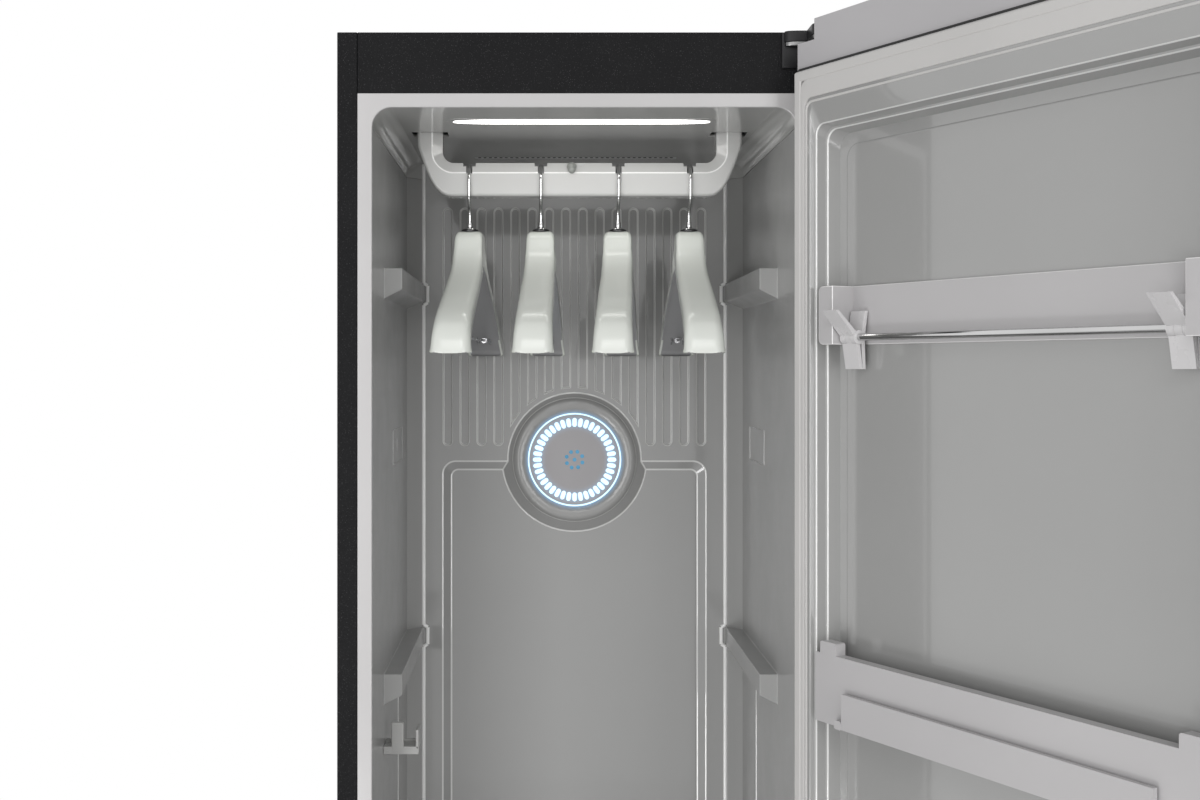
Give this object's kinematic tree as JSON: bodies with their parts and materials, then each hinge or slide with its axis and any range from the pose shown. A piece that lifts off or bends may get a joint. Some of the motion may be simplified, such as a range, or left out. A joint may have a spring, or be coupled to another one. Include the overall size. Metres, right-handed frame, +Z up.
{
  "type": "clothes care steam cabinet",
  "caption": "Tall upright steam closet for garments: hinged door with trouser fittings, shaking hanger bar with swivel hangers, steam outlet ring, pull-out water tanks and a heat pump below.",
  "frame": {"origin": "centre of the cabinet's footprint, on the floor plane under the four levelling feet", "axes": "+Z up, +X to the right and +Y to the back as one faces the open cabinet"},
  "size_m": [0.8869, 1.0969, 1.96],
  "materials": {
    "feet": "black moulded",
    "zinc": "zinc coated sheet",
    "case": "near-black textured powder coat",
    "frame_light": "light grey gloss",
    "liner": "grey gloss moulding",
    "bezel": "grey satin moulding",
    "glow": "lit cyan-white",
    "disc": "mauve grey satin",
    "black_plastic": "black moulded",
    "rubber": "black rubber",
    "lamp": "milky lens",
    "catch": "grey satin",
    "bar": "light grey satin",
    "steel": "ground steel",
    "motor": "cast",
    "chrome": "polished",
    "hanger": "off-white gloss",
    "door_glass": "black tinted mirror finish",
    "door_case": "light grey satin",
    "door_liner": "light grey gloss",
    "gasket": "grey soft seal",
    "hinge": "dark painted steel",
    "fittings": "grey satin",
    "bay": "dark grey",
    "tank": "smoke grey",
    "filter": "dark grey frame with mesh",
    "fins": "bare fins",
    "black_steel": "black gloss"
  },
  "bodies": {
    "cabinet": {"levelling_feet": "feet", "base_pan": "zinc", "left_side_panel": "case", "right_side_panel": "case", "top_panel": "case", "back_panel": "zinc", "top_front_rail": "case", "kick_plate": "case", "front_frame": "frame_light", "liner_left_wall": "liner", "liner_right_wall": "liner", "liner_ceiling": "liner", "cavity_floor": "liner", "liner_back_panel": "liner", "ring_bezel": "bezel", "ring_light": "glow", "steam_disc": "disc", "dash_lights": "glow", "steam_plenum": "black_plastic", "steam_pipe": "rubber", "lamp_lens": "lamp", "side_catch": "catch", "hanger_guides": "steel", "hanger_motor": "motor", "hinge_top": "hinge", "hinge_bottom": "hinge", "tank_bay": "bay", "outlet_grille": "black_plastic", "air_duct": "black_plastic", "fan_motor": "motor", "heat_exchanger": "fins", "compressor": "black_steel", "steam_generator": "motor", "water_pump": "black_plastic", "control_box": "black_plastic", "cord_gland": "rubber"},
    "door": {"door_front_panel": "door_glass", "door_shell": "door_case", "door_liner": "door_liner", "door_gasket": "gasket", "clip_bracket": "fittings", "clip_rod": "chrome", "trouser_rail": "fittings"},
    "bar": {"hanger_bar": "bar", "hanger_carriage": "black_plastic", "hanger_hooks": "chrome"},
    "crank": {"motor_crank": "steel"},
    "fan": {"fan_impeller": "black_plastic"},
    "hanger_a": {"hanger_1": "hanger"},
    "hanger_b": {"hanger_2": "hanger"},
    "hanger_c": {"hanger_3": "hanger"},
    "hanger_d": {"hanger_4": "hanger"},
    "supply_tank": {"supply_tank": "tank"},
    "drain_tank": {"drain_tank": "tank"},
    "filter": {"lint_filter": "filter"},
    "left_clip": {"left_clip": "fittings"},
    "left_jaw": {"left_clip_jaw": "fittings"},
    "right_clip": {"right_clip": "fittings"},
    "right_jaw": {"right_clip_jaw": "fittings"},
    "flap": {"trouser_flap": "fittings"}
  },
  "joints": [
    {"name": "door_hinge", "type": "hinge", "parent": "cabinet", "child": "door", "pos_m": [0.283, -0.305, 1], "axis": [0, 0, 1], "range_deg": [-119, 11]},
    {"name": "bar_shake", "type": "slide", "parent": "cabinet", "child": "bar", "axis": [1, 0, 0], "range_m": [-0.006, 0.006]},
    {"name": "crank_turn", "type": "hinge", "parent": "cabinet", "child": "crank", "pos_m": [0, 0.02, 1.894], "axis": [0, 0, 1], "range_deg": [-40, 40]},
    {"name": "hanger_a_swivel", "type": "hinge", "parent": "bar", "child": "hanger_a", "pos_m": [-0.1485, -0.066, 1.73], "axis": [0, 0, 1], "range_deg": [-1.4, 10.2]},
    {"name": "hanger_b_swivel", "type": "hinge", "parent": "bar", "child": "hanger_b", "pos_m": [-0.0522, -0.066, 1.73], "axis": [0, 0, 1], "range_deg": [-2.7, 8.9]},
    {"name": "hanger_c_swivel", "type": "hinge", "parent": "bar", "child": "hanger_c", "pos_m": [0.0522, -0.066, 1.73], "axis": [0, 0, 1], "range_deg": [-0.8, 10.8]},
    {"name": "hanger_d_swivel", "type": "hinge", "parent": "bar", "child": "hanger_d", "pos_m": [0.1485, -0.066, 1.73], "axis": [0, 0, 1], "range_deg": [-5.6, 6]},
    {"name": "fan_spin", "type": "hinge", "parent": "cabinet", "child": "fan", "pos_m": [0, 0.12, 0.335], "axis": [0, 1, 0], "continuous": true},
    {"name": "supply_tank_pull", "type": "slide", "parent": "cabinet", "child": "supply_tank", "axis": [0, -1, 0], "range_m": [0, 0.2]},
    {"name": "drain_tank_pull", "type": "slide", "parent": "cabinet", "child": "drain_tank", "axis": [0, -1, 0], "range_m": [0, 0.2]},
    {"name": "filter_lift", "type": "slide", "parent": "cabinet", "child": "filter", "axis": [0, 0, 1], "range_m": [0, 0.14]},
    {"name": "left_clip_slide", "type": "slide", "parent": "door", "child": "left_clip", "axis": [-0.4848, 0.8746, 0], "range_m": [0, 0.15]},
    {"name": "left_jaw_squeeze", "type": "hinge", "parent": "left_clip", "child": "left_jaw", "pos_m": [0.50636, -0.74715, 1.587], "axis": [-0.4848, 0.8746, 0], "range_deg": [0, 15], "stiffness_Nm_per_rad": 0.05, "springref_deg": -20.05},
    {"name": "right_clip_slide", "type": "slide", "parent": "door", "child": "right_clip", "axis": [0.4848, -0.8746, 0], "range_m": [0, 0.15]},
    {"name": "right_jaw_squeeze", "type": "hinge", "parent": "right_clip", "child": "right_jaw", "pos_m": [0.3008, -0.37631, 1.587], "axis": [-0.4848, 0.8746, 0], "range_deg": [0, 15], "stiffness_Nm_per_rad": 0.05, "springref_deg": -20.05},
    {"name": "flap_tilt", "type": "hinge", "parent": "door", "child": "flap", "pos_m": [0.38347, -0.57288, 1.151], "axis": [0.4848, -0.8746, 0], "range_deg": [0, 30]}
  ],
  "couplings": [
    {"joint": "crank_turn", "follows": "bar_shake", "rad_per_m": -100}
  ]
}
